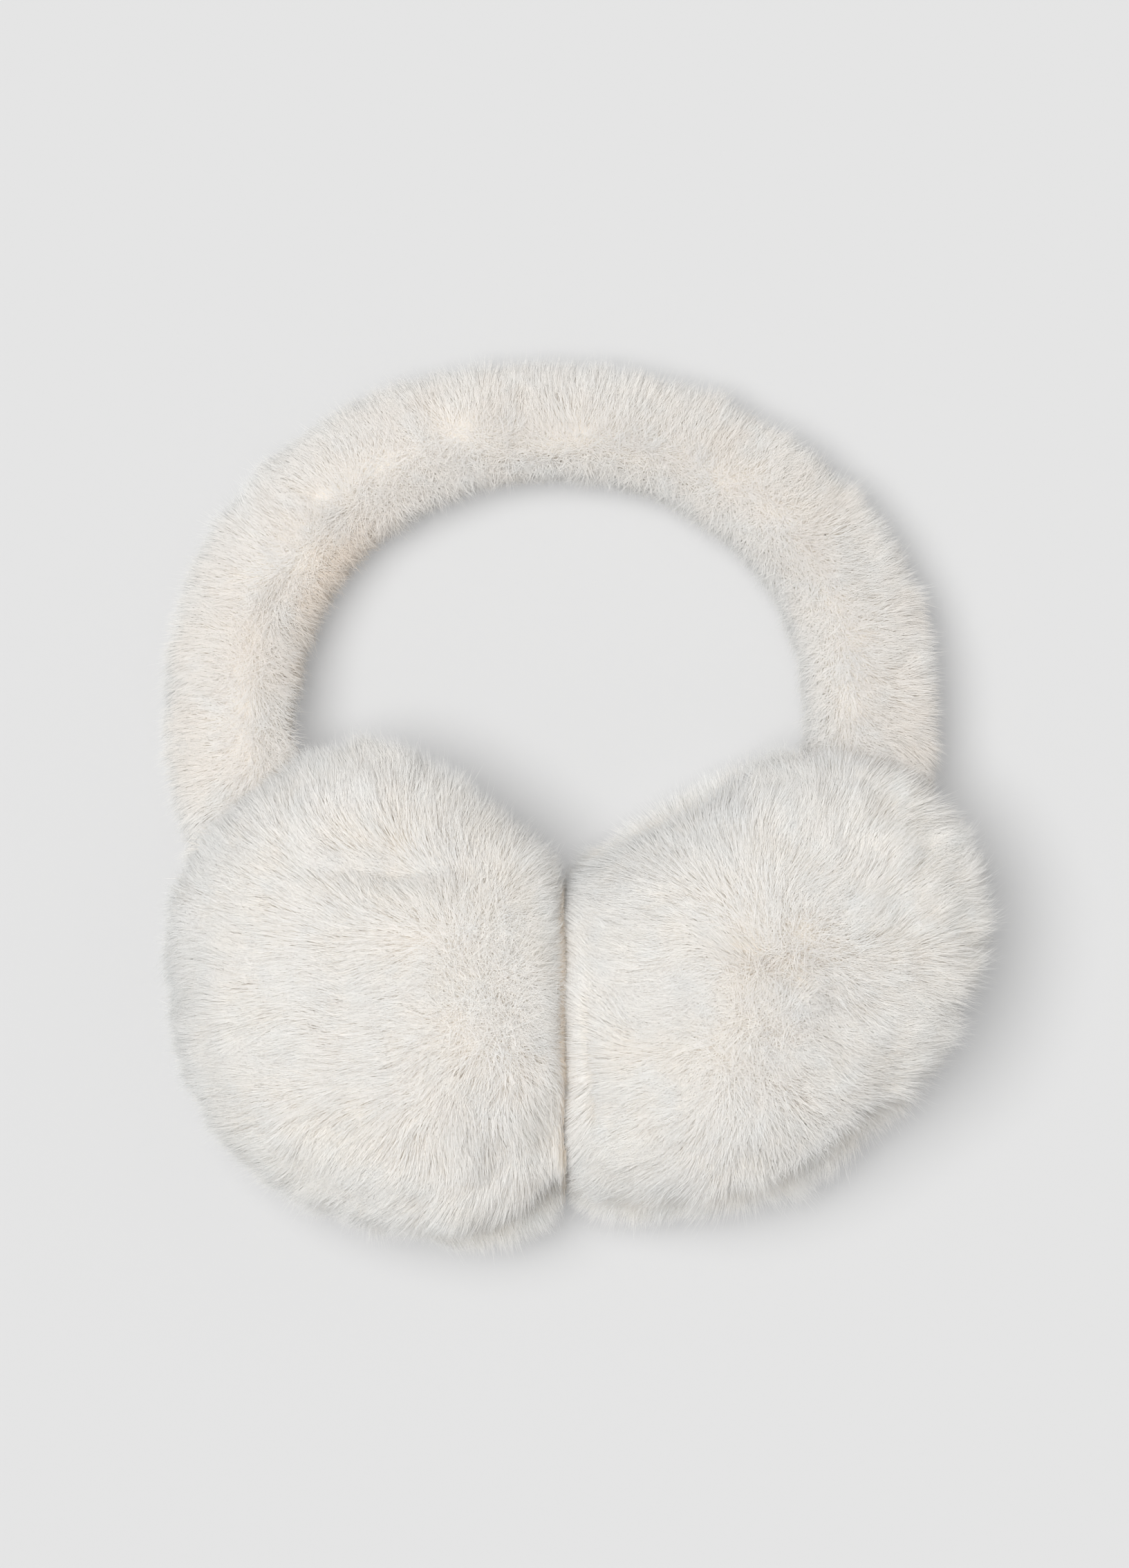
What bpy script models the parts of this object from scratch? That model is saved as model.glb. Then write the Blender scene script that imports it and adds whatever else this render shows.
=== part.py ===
"""Deep-pile fur earmuffs lying on a flat surface, modelled in metres with +Z up.

An oval fur tube forms the headband. Each pad is a lower fur cushion that rests on the surface
and a domed fur cover over it, and each end of the headband runs into a pocket between the two.
Every piece is a smooth form, given by a function of two fractions, with rows of pointed locks of
fur raised from it. Plan positions are measured from the centre of the headband's arc, and the
last step centres the whole on the origin.
"""
import math
from functools import partial

import bmesh
import bpy
import numpy as np

# Headband
BAND_RADIUS = 0.075          # arc centre to the middle of the tube
BAND_WIDTH = 0.0300          # across the tube, seen from above, without its locks
BAND_HEIGHT = 0.0225
BAND_FLAT = 0.0015           # how much of the tube is pressed flat where it rests
BAND_END_ROUND = 0.010       # length over which each hidden end closes
BAND_COLUMNS = 20
BAND_RINGS = 84

# Pads
PAD_RADIUS = 0.0575
PAD_DROP = 0.0575            # arc centre to the mean centre line of the pads
SEAM_HEIGHT = 0.022          # where the cover sits on the cushion
COVER_HEIGHT = 0.032         # from the seam to the top of the dome
CUSHION_FLAT = 0.0020        # how much of the cushion is pressed flat where it rests
CONTACT_X = 0.003            # plane where the two pads press together
CREASE_DEPTH = 0.0045        # how far the covers round down into the crease between the pads
CREASE_REACH = 0.0040
GAP = 0.0003                 # clearance between neighbouring pieces
COVER_COLUMNS = 56
COVER_RINGS = 20
CUSHION_COLUMNS = 44
CUSHION_RINGS = 13

# Fur locks
LOCK_LIFT = 0.0017           # how far a lock's tip stands off the form
LOCK_FADE = 0.005            # distance over which locks lie down near a floor, wall or pocket
LOCK_JITTER = 0.28           # random share of each lock's lift, length and lean
LOCK_SEED = 11

# Shapes of the forms, as exponents of their rounded profiles
DOME_POWER = 2.5
DOME_ROUND = 0.58
UNDER_POWER = 9.0
UNDER_ROUND = 0.55
SECTION_SQUARENESS = 0.86

# Share of a piece's height at which it is widest
COVER_WAIST = 0.22
CUSHION_WAIST = 0.68

# Headband along its arc, counter-clockwise from +X. Columns: degrees, radius as a share of
# BAND_RADIUS, width of BAND_WIDTH, height of BAND_HEIGHT, and how far it is raised off the
# surface as a share of SEAM_HEIGHT
BAND_TABLE = (
    (-12, 1.003, 0.97, 0.84, 0.43),
    (0, 0.992, 1.02, 0.95, 0.28),
    (30, 1.022, 1.02, 1.00, 0.08),
    (60, 0.996, 0.90, 1.00, 0.00),
    (90, 0.980, 0.88, 1.00, 0.00),
    (120, 1.004, 1.00, 1.00, 0.00),
    (150, 1.018, 1.05, 1.00, 0.08),
    (180, 0.976, 1.04, 0.95, 0.28),
    (195, 0.972, 0.99, 0.84, 0.43),
)
END_WIDTH = 0.62             # the hidden ends, as shares of BAND_WIDTH and BAND_HEIGHT
END_HEIGHT = 0.42

# Outlines of the pad pieces around their pad's centre, as shares of PAD_RADIUS. Where the pads
# press together the outline runs past the contact plane, which keeps the domes full up to it.
OUTLINE_COLUMNS = ("degrees", "left cover", "left cushion", "right cover", "right cushion")
OUTLINE_TABLE = (
    (0, 1.15, 0.81, 0.70, 0.73),
    (30, 0.90, 0.86, 0.88, 0.92),
    (60, 0.86, 0.85, 0.93, 0.91),
    (90, 0.99, 0.93, 0.87, 0.86),
    (120, 0.94, 0.89, 0.74, 0.81),
    (150, 0.90, 0.84, 0.89, 0.90),
    (180, 0.80, 0.78, 1.25, 0.94),
    (210, 0.82, 0.80, 1.02, 1.03),
    (225, 0.83, 0.82, 1.14, 1.24),
    (240, 0.85, 0.85, 0.98, 1.07),
    (270, 0.91, 0.93, 0.71, 0.83),
    (300, 1.03, 1.12, 0.57, 0.68),
    (330, 1.00, 1.08, 0.62, 0.68),
)

# Each pad. Columns: side (-1 left of the contact plane, +1 right), centre from the contact plane
# and from the mean centre line, then from that centre the point its fur spreads from and the
# headband's end, all as shares of PAD_RADIUS, then the direction in which the pad is tilted up,
# in degrees, and its slope
PAD_TABLE = {
    "left": (-1, -0.755, -0.024, 0.44, 0.08, -0.35, 0.26, -50, 0.05),
    "right": (1, 0.863, 0.028, -0.12, -0.16, 0.18, 0.18, -40, 0.12),
}

# Soft dents in the covers. Columns: pad, middle of the dent from the pad's centre, half length,
# half width and depth, all as shares of PAD_RADIUS, and the direction of its length in degrees
DENT_TABLE = (
    ("left", 0.12, 0.48, 0.28, 0.10, 0.060, -4),
    ("left", 0.52, -0.64, 0.15, 0.07, 0.060, 40),
    ("right", -0.05, 0.13, 0.16, 0.10, 0.065, -25),
    ("right", 0.08, 0.00, 0.14, 0.09, 0.045, 20),
)

# Rings of one tier of locks. Columns: lift of a ridge, lift of a valley, as shares of LOCK_LIFT,
# and how far the ridge and the valley reach forward, as shares of the ring spacing
TIER_ROWS = (
    (-0.45, -0.45, 0.00, 0.00),
    (0.35, -0.25, 0.20, -0.10),
    (1.00, -0.15, 0.95, -0.40),
)
RINGS_PER_TIER = len(TIER_ROWS)

# Share of the rings spent on the upper side of each pad piece
COVER_UPPER = 0.80
CUSHION_UPPER = 0.54
CROWN_RADIUS = 0.034         # locks grow to their full lift over this distance from the crown

# Place of the headband's parting line around its section, in degrees from the outer edge
BAND_PARTING = 144
BAND_OUTER_TIERS = 3
BAND_INNER_TIERS = 1

FUR_COLOURS = {
    "headband": (0.75, 0.70, 0.64),
    "left_outer_cover": (0.80, 0.77, 0.72),
    "left_inner_pad": (0.72, 0.67, 0.60),
    "right_outer_cover": (0.80, 0.77, 0.72),
    "right_inner_pad": (0.72, 0.67, 0.60),
}
STEP = 1e-4                  # fraction step for slopes of a form


def smoothstep(edge, value):
    """Rise smoothly from 0 at 0 to 1 at edge."""
    t = np.clip(value / edge, 0.0, 1.0)
    return t * t * (3.0 - 2.0 * t)


def smooth_curve(knots, values, at):
    """Read a smooth curve through (knots, values), with evenly weighted slopes."""
    knots = np.asarray(knots, float)
    values = np.asarray(values, float)
    slopes = np.gradient(values, knots)
    k = np.clip(np.searchsorted(knots, at, side="right") - 1, 0, len(knots) - 2)
    span = knots[k + 1] - knots[k]
    t = (at - knots[k]) / span
    rise = values[k + 1] - values[k]
    start, end = slopes[k] * span, slopes[k + 1] * span
    return values[k] + t * (start + t * (3 * rise - 2 * start - end + t * (start + end - 2 * rise)))


def outline_radius(outline, degrees):
    """Radius of a pad piece's outline at an angle, closed round the full turn."""
    knots = [row[0] for row in OUTLINE_TABLE]
    shares = [row[OUTLINE_COLUMNS.index(outline)] for row in OUTLINE_TABLE]
    knots = [knot - 360 for knot in knots[-2:]] + knots + [knot + 360 for knot in knots[:2]]
    shares = shares[-2:] + shares + shares[:2]
    return PAD_RADIUS * smooth_curve(knots, shares, np.mod(degrees, 360.0))


def pad_centre(pad):
    from_contact, from_line = PAD_TABLE[pad][1:3]
    return np.array([CONTACT_X + from_contact * PAD_RADIUS, -PAD_DROP + from_line * PAD_RADIUS])


def seam_plane(pad, x, y):
    """Height of the tilted plane between a pad's cushion and its cover."""
    direction, slope = PAD_TABLE[pad][7:]
    centre = pad_centre(pad)
    along = (x - centre[0]) * math.cos(math.radians(direction))
    along = along + (y - centre[1]) * math.sin(math.radians(direction))
    return SEAM_HEIGHT + slope * along


def dent_depth(pad, x, y):
    """Depth of the soft dents of one cover at a plan position."""
    centre = pad_centre(pad)
    depth = np.zeros_like(x)
    for name, mid_x, mid_y, half_length, half_width, deep, degrees in DENT_TABLE:
        if name != pad:
            continue
        dx = (x - centre[0]) / PAD_RADIUS - mid_x
        dy = (y - centre[1]) / PAD_RADIUS - mid_y
        c, s = math.cos(math.radians(degrees)), math.sin(math.radians(degrees))
        along, across = (c * dx + s * dy) / half_length, (c * dy - s * dx) / half_width
        depth += deep * PAD_RADIUS * np.exp(-along * along - across * across)
    return depth


def plan_position(pad, outline, u, reach):
    """Plan point at a share of the way from the fur's centre to the outline.

    Also returns how far out the point is, from 0 at the pad's centre to 1 on the outline.
    """
    angle = 2.0 * math.pi * u
    radius = outline_radius(outline, np.degrees(angle))
    centre = pad_centre(pad)
    crown = centre + PAD_RADIUS * np.array(PAD_TABLE[pad][3:5])
    edge_x = centre[0] + radius * np.cos(angle)
    edge_y = centre[1] + radius * np.sin(angle)
    x = crown[0] + reach * (edge_x - crown[0])
    y = crown[1] + reach * (edge_y - crown[1])
    from_x, from_y = x - centre[0], y - centre[1]
    limit = outline_radius(outline, np.degrees(np.arctan2(from_y, from_x)))
    return x, y, np.clip(np.hypot(from_x, from_y) / limit, 0.0, 1.0)


def profile(v, upper):
    """Reach from the crown and side (True above the waist) at a fraction down a pad piece."""
    above = v <= upper
    angle = np.where(above, v / upper, (1.0 - v) / (1.0 - upper)) * math.pi / 2.0
    return np.sin(angle), above


def cover_form(pad, u, v):
    reach, above = profile(v, COVER_UPPER)
    x, y, out = plan_position(pad, pad + " cover", u, reach)
    waist = COVER_WAIST * COVER_HEIGHT
    dome = waist + (COVER_HEIGHT - waist) * (1.0 - out ** DOME_POWER) ** DOME_ROUND
    to_contact = (x - CONTACT_X) / CREASE_REACH
    dome = dome - CREASE_DEPTH * np.exp(-to_contact * to_contact) * (dome - waist) / (COVER_HEIGHT - waist)
    under = waist * (1.0 - (1.0 - out ** UNDER_POWER) ** UNDER_ROUND)
    height = np.where(above, dome - dent_depth(pad, x, y), under)
    return np.stack([x, y, seam_plane(pad, x, y) + height], axis=-1)


def cushion_form(pad, u, v):
    reach, above = profile(v, CUSHION_UPPER)
    x, y, out = plan_position(pad, pad + " cushion", u, reach)
    top = seam_plane(pad, x, y) - GAP
    waist = CUSHION_WAIST * top
    upper = waist + (top - waist) * (1.0 - out ** UNDER_POWER) ** UNDER_ROUND
    lower = waist - (waist + CUSHION_FLAT) * (1.0 - out ** DOME_POWER) ** DOME_ROUND
    return np.stack([x, y, np.where(above, upper, lower)], axis=-1)


def band_end(pad):
    """Row for the headband's hidden end inside a pad, in the columns of BAND_TABLE."""
    x, y = pad_centre(pad) + PAD_RADIUS * np.array(PAD_TABLE[pad][5:7])
    degrees = math.degrees(math.atan2(y, x)) % 360.0
    if PAD_TABLE[pad][0] > 0:
        degrees -= 360.0
    raised = seam_plane(pad, x, y) - END_HEIGHT * BAND_HEIGHT / 2.0 + BAND_FLAT
    return (degrees, math.hypot(x, y) / BAND_RADIUS, END_WIDTH, END_HEIGHT, raised / SEAM_HEIGHT)


def band_rows():
    return np.array((band_end("right"),) + BAND_TABLE + (band_end("left"),))


def band_form(u, v, grow=0.0):
    """Headband surface: u runs round the section from its outer edge over the top, v along the arc.

    A positive grow gives the same form enlarged all round, for the pockets.
    """
    table = band_rows()
    degrees = table[-1, 0] + (table[0, 0] - table[-1, 0]) * v
    radius, width, height, raised = (smooth_curve(table[:, 0], table[:, c], degrees) for c in (1, 2, 3, 4))
    length = BAND_RADIUS * math.radians(table[-1, 0] - table[0, 0])
    from_end = np.minimum(v, 1.0 - v) * length / BAND_END_ROUND
    closing = np.sqrt(np.clip(1.0 - (1.0 - np.minimum(from_end, 1.0)) ** 2, 0.0, 1.0))
    phi = 2.0 * math.pi * u
    across = np.sign(np.cos(phi)) * np.abs(np.cos(phi)) ** SECTION_SQUARENESS
    upward = np.sign(np.sin(phi)) * np.abs(np.sin(phi)) ** SECTION_SQUARENESS
    out = radius * BAND_RADIUS + across * (closing * width * BAND_WIDTH / 2.0 + grow)
    middle = height * BAND_HEIGHT / 2.0 - BAND_FLAT + np.maximum(raised, 0.0) * SEAM_HEIGHT
    z = middle + upward * (closing * height * BAND_HEIGHT / 2.0 + grow)
    past_end = np.where(from_end < STEP, grow, 0.0) * np.sign(0.5 - v)
    turn = np.radians(degrees) + past_end / BAND_RADIUS
    return np.stack([out * np.cos(turn), out * np.sin(turn), z], axis=-1)


def normals_of(form, u, v):
    """Unit normals of a form from its slopes, outward where u runs counter-clockwise."""
    v_in = np.clip(v, 2 * STEP, 1.0 - 2 * STEP)
    along_u = form(u + STEP, v_in) - form(u - STEP, v_in)
    along_v = form(u, v_in + STEP) - form(u, v_in - STEP)
    normal = np.cross(along_v, along_u)
    return normal / np.linalg.norm(normal, axis=-1, keepdims=True)


def tier_values(steps, rank):
    """Lift and reach of each vertex of a grid of locks, and whether it is a lock's tip.

    steps counts rings forward from the first root, and rank counts vertices across the locks.
    Ridges and valleys swap sides from one tier to the next, as bricks do.
    """
    rows = np.array(TIER_ROWS)
    place = np.mod(steps, RINGS_PER_TIER)
    ridge = np.mod(rank + steps // RINGS_PER_TIER, 2) == 0
    lift = np.where(ridge, rows[place, 0], rows[place, 1])
    reach = np.where(ridge, rows[place, 2], rows[place, 3])
    return lift, reach, ridge & (place == RINGS_PER_TIER - 1)


def jitter(rng, shape):
    return LOCK_JITTER * rng.uniform(-1.0, 1.0, shape)


def grid_mesh(name, points, collection):
    """Make a closed mesh from a sphere whose rings and columns take the grid's points."""
    rings, columns = points.shape[0] - 1, points.shape[1]
    bm = bmesh.new()
    bmesh.ops.create_uvsphere(bm, u_segments=columns, v_segments=rings, radius=1.0)
    for vert in bm.verts:
        ring = round(math.acos(max(-1.0, min(1.0, vert.co.z))) / math.pi * rings)
        column = round(math.atan2(vert.co.y, vert.co.x) / (2.0 * math.pi) * columns) % columns
        if ring in (0, rings):
            column = 0
        vert.co = points[ring, column]
    bmesh.ops.triangulate(bm, faces=bm.faces[:])
    bmesh.ops.recalc_face_normals(bm, faces=bm.faces[:])
    mesh = bpy.data.meshes.new(name)
    bm.to_mesh(mesh)
    bm.free()
    mesh.shade_smooth()
    obj = bpy.data.objects.new(name, mesh)
    collection.objects.link(obj)
    return obj


def fur_material(name, colour):
    material = bpy.data.materials.new(name)
    material.use_nodes = True
    shader = material.node_tree.nodes["Principled BSDF"]
    shader.inputs["Base Color"].default_value = (*colour, 1.0)
    shader.inputs["Roughness"].default_value = 1.0
    shader.inputs["Metallic"].default_value = 0.0
    return material


def pad_points(pad, form, upper, columns, rings, rng):
    """Grid of a pad piece with its locks, pressed flat at the contact plane."""
    ring, rank = np.meshgrid(np.arange(rings + 1), np.arange(columns), indexing="ij")
    u, v = rank / columns, ring / rings
    plain = form(u, v)
    last = int(upper * rings) // RINGS_PER_TIER * RINGS_PER_TIER
    lift, reach, is_tip = tier_values(np.maximum(ring - 1, 0), rank)
    side = PAD_TABLE[pad][0]
    crown = form(np.zeros(1), np.zeros(1))[0]
    to_wall = side * (plain[..., 0] - CONTACT_X)
    fade = smoothstep(LOCK_FADE, to_wall - LOCK_LIFT) * smoothstep(LOCK_FADE, band_clearance(plain))
    fade = fade * smoothstep(CROWN_RADIUS, np.linalg.norm(plain[..., :2] - crown[:2], axis=-1))
    fade = fade * ((ring >= 1) & (ring <= last))
    size = fade * np.where(is_tip, 1.0 + jitter(rng, u.shape), 1.0)
    lean = np.where(is_tip, jitter(rng, u.shape), 0.0) * fade / columns
    moved_u, moved_v = u + lean, v + size * reach / rings
    points = form(moved_u, moved_v) + normals_of(form, moved_u, moved_v) * (LOCK_LIFT * size * lift)[..., None]
    wall = CONTACT_X + side * GAP / 2.0
    points[..., 0] = side * np.maximum(side * points[..., 0], side * wall)
    return points


def band_clearance(points):
    """Rough distance from each point to the headband's tube, zero inside it."""
    table = band_rows()
    turn = np.degrees(np.arctan2(points[..., 1], points[..., 0]))
    turn = np.where(turn < -90.0, turn + 360.0, turn)
    inside = np.clip(turn, table[0, 0], table[-1, 0])
    radius, width, height, raised = (smooth_curve(table[:, 0], table[:, c], inside) for c in (1, 2, 3, 4))
    past = BAND_RADIUS * np.radians(np.abs(turn - inside))
    off = np.abs(np.hypot(points[..., 0], points[..., 1]) - radius * BAND_RADIUS) - width * BAND_WIDTH / 2.0
    above = points[..., 2] - (height * BAND_HEIGHT - BAND_FLAT + raised * SEAM_HEIGHT)
    distance = np.hypot(np.hypot(np.maximum(off, 0.0), past), np.maximum(above, 0.0))
    return np.maximum(distance - LOCK_LIFT, 0.0)


def cover_points(pad, rng):
    form = partial(cover_form, pad)
    points = pad_points(pad, form, COVER_UPPER, COVER_COLUMNS, COVER_RINGS, rng)
    seam = seam_plane(pad, points[..., 0], points[..., 1])
    points[..., 2] = np.maximum(points[..., 2], seam)
    return points


def cushion_points(pad, rng):
    form = partial(cushion_form, pad)
    points = pad_points(pad, form, CUSHION_UPPER, CUSHION_COLUMNS, CUSHION_RINGS, rng)
    seam = seam_plane(pad, points[..., 0], points[..., 1])
    points[..., 2] = np.clip(points[..., 2], 0.0, seam - GAP)
    return points


def outside_covers(points):
    """Distance in plan outside both covers' outlines, negative within them."""
    outside = np.full(points.shape[:-1], np.inf)
    for pad in PAD_TABLE:
        centre = pad_centre(pad)
        dx, dy = points[..., 0] - centre[0], points[..., 1] - centre[1]
        limit = outline_radius(pad + " cover", np.degrees(np.arctan2(dy, dx)))
        outside = np.minimum(outside, np.hypot(dx, dy) - limit)
    return outside


def band_points(rng):
    """Grid of the headband: tiers of locks run round the section, ridges alternate along it."""
    ring, column = np.meshgrid(np.arange(BAND_RINGS + 1), np.arange(BAND_COLUMNS), indexing="ij")
    u, v = column / BAND_COLUMNS, ring / BAND_RINGS
    plain = band_form(u, v)
    parting = round(BAND_PARTING / 360.0 * BAND_COLUMNS)
    outward = np.mod(parting - 1 - column, BAND_COLUMNS)
    inward = np.mod(column - parting - 1, BAND_COLUMNS)
    is_outer = outward < BAND_OUTER_TIERS * RINGS_PER_TIER
    is_inner = inward < BAND_INNER_TIERS * RINGS_PER_TIER
    steps = np.where(is_outer, outward, inward)
    lift, reach, is_tip = tier_values(steps, ring)
    fade = smoothstep(LOCK_FADE, outside_covers(plain) - LOCK_LIFT) * (is_outer | is_inner)
    fade = fade * smoothstep(LOCK_FADE, plain[..., 2])
    size = fade * np.where(is_tip, 1.0 + jitter(rng, u.shape), 1.0)
    lean = np.where(is_tip, jitter(rng, u.shape), 0.0) * fade / BAND_RINGS
    forward = np.where(is_outer, -1.0, 1.0) * size * reach / BAND_COLUMNS
    moved_u, moved_v = u + forward, v + lean
    offset = -normals_of(band_form, moved_u, moved_v) * (LOCK_LIFT * size * lift)[..., None]
    points = band_form(moved_u, moved_v) + offset
    points[..., 2] = np.maximum(points[..., 2], 0.0)
    return points


def pocket_points():
    ring, column = np.meshgrid(np.arange(BAND_RINGS + 1), np.arange(BAND_COLUMNS), indexing="ij")
    return band_form(column / BAND_COLUMNS, ring / BAND_RINGS, grow=GAP)


def cut_pocket(piece, cutter):
    modifier = piece.modifiers.new("pocket", "BOOLEAN")
    modifier.operation = "DIFFERENCE"
    modifier.solver = "EXACT"
    modifier.object = cutter


def centre_on_origin(objects, grids):
    """Move everything so that the box of all the grids stands centred on the origin."""
    points = np.concatenate([grid.reshape(-1, 3) for grid in grids])
    low, high = points.min(axis=0), points.max(axis=0)
    for obj in objects:
        obj.location = (-(low[0] + high[0]) / 2.0, -(low[1] + high[1]) / 2.0, -low[2])


def clear_scene():
    for obj in list(bpy.data.objects):
        bpy.data.objects.remove(obj, do_unlink=True)


def main():
    clear_scene()
    scene = bpy.context.scene.collection
    parts = bpy.data.collections.new("fur_earmuffs")
    cutters = bpy.data.collections.new("cutters")
    scene.children.link(parts)
    scene.children.link(cutters)
    rng = np.random.default_rng(LOCK_SEED)

    grids = {
        "headband": band_points(rng),
        "left_outer_cover": cover_points("left", rng),
        "left_inner_pad": cushion_points("left", rng),
        "right_outer_cover": cover_points("right", rng),
        "right_inner_pad": cushion_points("right", rng),
    }
    cutter = grid_mesh("band_pocket_cutter", pocket_points(), cutters)
    cutter.hide_render = True
    cutter.display_type = "WIRE"
    pieces = []
    for name, points in grids.items():
        piece = grid_mesh(name, points, parts)
        piece.data.materials.append(fur_material(name + "_fur", FUR_COLOURS[name]))
        if name != "headband":
            cut_pocket(piece, cutter)
        pieces.append(piece)
    centre_on_origin(pieces + [cutter], grids.values())


main()
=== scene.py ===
"""Looks of the fur earmuffs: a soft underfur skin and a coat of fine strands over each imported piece.

Each coat follows its own CAD piece. The piece is remeshed smooth, its skin is sunk under the
surface by the depth of the pile, and strands grow from the skin back up to the surface, lying
the way the fur lies: outward from the crown of each pad, and over the headband from its parting
line towards both edges. Beside the seam between the pads, the lower cover's fur swells up towards
the higher edge.
"""

import math

import bpy
import numpy as np
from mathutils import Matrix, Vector
from mathutils.bvhtree import BVHTree
from mathutils.kdtree import KDTree


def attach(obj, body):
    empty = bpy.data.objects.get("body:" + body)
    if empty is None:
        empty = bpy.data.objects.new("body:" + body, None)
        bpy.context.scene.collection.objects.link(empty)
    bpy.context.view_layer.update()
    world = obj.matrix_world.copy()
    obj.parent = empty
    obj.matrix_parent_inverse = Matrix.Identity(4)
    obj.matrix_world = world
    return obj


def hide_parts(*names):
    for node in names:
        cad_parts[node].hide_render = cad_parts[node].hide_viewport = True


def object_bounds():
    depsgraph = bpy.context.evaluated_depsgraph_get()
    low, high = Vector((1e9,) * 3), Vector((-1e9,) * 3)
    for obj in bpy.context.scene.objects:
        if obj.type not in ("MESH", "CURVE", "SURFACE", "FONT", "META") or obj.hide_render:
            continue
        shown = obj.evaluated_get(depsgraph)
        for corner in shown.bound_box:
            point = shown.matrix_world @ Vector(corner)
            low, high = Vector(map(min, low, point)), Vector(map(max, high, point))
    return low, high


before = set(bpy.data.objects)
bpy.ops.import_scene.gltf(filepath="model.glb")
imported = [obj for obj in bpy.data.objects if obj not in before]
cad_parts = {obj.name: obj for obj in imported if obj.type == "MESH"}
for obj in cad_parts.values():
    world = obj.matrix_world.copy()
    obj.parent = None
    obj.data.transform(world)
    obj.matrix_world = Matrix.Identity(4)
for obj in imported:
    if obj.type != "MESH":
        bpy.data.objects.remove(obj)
cad_low, cad_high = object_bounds()

SEED = 7
STRAND_SHARE = 1.0

# Places read from the photograph, in the row frame, metres
ARC_CENTRE = (-0.0056, 0.0146)          # middle of the headband's arc
PARTING_RADIUS = 0.0640                 # where the headband's fur turns from inward to outward
PARTING_SOFT = 0.0150
PARTING_WAVER = 0.0030
CONTACT_X = -0.0026                     # where the two pads press together

# Each coat. Columns: strands, strand length, depth of the pile, the two ends of the short parting
# that the fur spreads from, side of the contact plane it stays on (0 for both)
COATS = {
    "headband": (98000, 0.0095, 0.0042, None, 0),
    "left_outer_cover": (98000, 0.0120, 0.0050, ((-0.0190, -0.0290), (-0.0150, -0.0500)), -1),
    "right_outer_cover": (98000, 0.0120, 0.0050, ((0.0455, -0.0360), (0.0385, -0.0570)), 1),
    "left_inner_pad": (62000, 0.0110, 0.0048, ((-0.0400, -0.0400), (-0.0400, -0.0500)), -1),
    "right_inner_pad": (62000, 0.0110, 0.0048, ((0.0450, -0.0350), (0.0450, -0.0450)), 1),
}
# How much the fur of each piece leans down at its sides
DOWNWARD = {
    "headband": 0.35,
    "left_outer_cover": 0.50,
    "right_outer_cover": 0.15,
    "left_inner_pad": 0.45,
    "right_inner_pad": 0.30,
}

LOW_SIDE = 0.30              # upward part of the normal below which the fur hugs down
LOW_SIDE_DOWN = 0.55

# Rims with longer locks that drape outward. Columns: piece, direction in degrees, half spread,
# gain in length
LONG_RIMS = (
    ("left_outer_cover", 60.0, 45.0, 0.15),
    ("right_outer_cover", -30.0, 60.0, 0.50),
    ("right_outer_cover", 80.0, 40.0, 0.30),
    ("right_inner_pad", -50.0, 50.0, 0.35),
)
LONG_RIM_TURN = 0.50         # upward part of the normal where those locks grow, and its spread
LONG_RIM_SOFT = 0.32

# Soft dents and folds. Columns: piece, middle in x and y, half length, half width, depth, and the
# direction of the length in degrees
DENTS = (
    ("left_outer_cover", -0.0380, -0.0165, 0.0140, 0.0040, 0.0030, -4.0),
    ("left_outer_cover", -0.0155, -0.0815, 0.0070, 0.0035, 0.0022, 40.0),
    ("right_outer_cover", 0.0450, -0.0355, 0.0075, 0.0036, 0.0042, -18.0),
    ("right_outer_cover", 0.0330, -0.0300, 0.0095, 0.0040, 0.0016, -38.0),
    ("right_outer_cover", 0.0500, -0.0415, 0.0075, 0.0050, 0.0020, 20.0),
    ("right_outer_cover", 0.0715, -0.0600, 0.0070, 0.0034, 0.0020, 62.0),
    ("headband", -0.0690, 0.0470, 0.0120, 0.0050, 0.0020, 62.0),
    ("headband", -0.0545, 0.0640, 0.0110, 0.0050, 0.0020, 38.0),
)
DENT_SHADE = 230.0           # loss of openness for each metre of a dent's depth

# Inner side of the headband where painted shade darkens the fur towards its deep colour. Columns: degrees
# round the arc, half spread, strength
INNER_SHADE_SIDES = ((143.0, 24.0, 1.00), (95.0, 22.0, 0.62), (25.0, 25.0, 0.50))
INNER_SHADE_RADIUS = 0.0715

# Skin
SKIN_VOXEL = 0.0021
SKIN_SMOOTHING = 14
SKIN_SMOOTH_SHARE = 0.6
SUNK_SMOOTHING = 4           # the gentler smoothing after the skin is sunk
SUNK_SMOOTH_SHARE = 0.5
OPEN_RAYS = 18
OPEN_REACH = 0.035
OPEN_START = 0.0012          # height above the skin where the rays start
LEAST_FACING = 0.15          # how much a ray has to face away from the skin to count
FLOOR_SHARE = 0.6            # share of an open ray that ends on the floor

# Strands
FACING_UP = (-1.0, -0.5, 0.1, 1.0)       # upward part of the normal, and the density of hairs there
FACING_DENSITY = (0.08, 0.35, 0.85, 1.0)
OPEN_DENSE = 0.30            # openness above which the fur has its full density
LEAST_DENSE = 0.02
PRESSED_DENSE = 0.6          # least density on the faces that press together, where they show
STRAND_WIDTH = 0.00014
WIDTH_SPREAD = (0.75, 1.25)
LENGTH_SPREAD = (0.76, 1.08)
BEND_AT = 0.45               # share of the length before the bend
ROOT_ANGLE = 44.0            # degrees off the skin before and after the bend
TIP_ANGLE = 9.0
CROWN_RADIUS = 0.020         # within it the fur stands up more
SWIRL = 18.0                 # degrees by which broad and fine waves turn the flow
FINE_SWIRL = 9.0
STRAY = 9.0
BAND_ALONG = 0.35            # how much the fur of the arms lies along them, towards the pads
BAND_WILD = 0.14             # random waves in the flow of the headband's and the pads' fur
PAD_WILD = 0.15
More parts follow.
